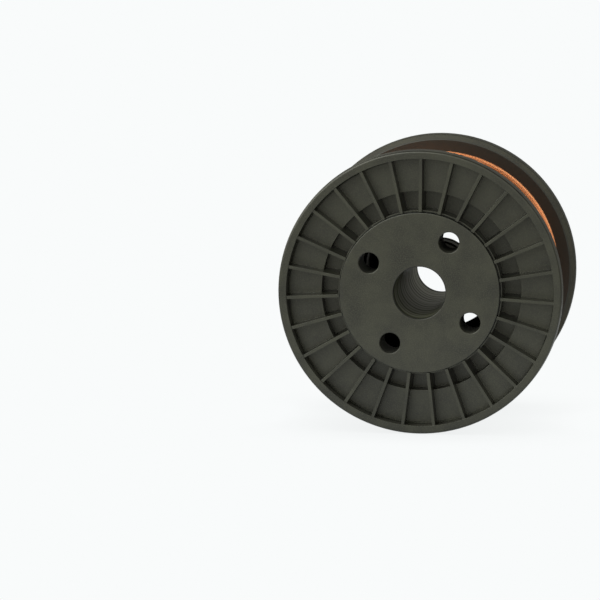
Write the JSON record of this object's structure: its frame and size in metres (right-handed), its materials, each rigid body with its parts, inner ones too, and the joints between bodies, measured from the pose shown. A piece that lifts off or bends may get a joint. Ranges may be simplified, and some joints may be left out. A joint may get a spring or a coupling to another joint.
{
  "type": "wire spool",
  "caption": "Moulded plastic delivery spool with ribbed flanges and a press-fitted hub disc, wound full of bright copper wire.",
  "frame": {"origin": "on the spool's axis, midway between the two flanges", "axes": "+X along the spool's axis towards the drive side, the one whose hub disc has the drive holes; +Y and +Z square to it"},
  "size_m": [0.2, 0.25, 0.25],
  "materials": {
    "black_abs": "fine moulded texture, satin",
    "black_abs_tube": "smooth extruded",
    "bare_copper": "bright drawn wire"
  },
  "bodies": {
    "root": {"drive_flange": "black_abs", "open_flange": "black_abs", "drum_tube": "black_abs_tube", "arbor_tube": "black_abs_tube", "drive_hub": "black_abs", "open_hub": "black_abs", "copper_pack": "bare_copper", "copper_outer_layer": "bare_copper"}
  },
  "joints": []
}
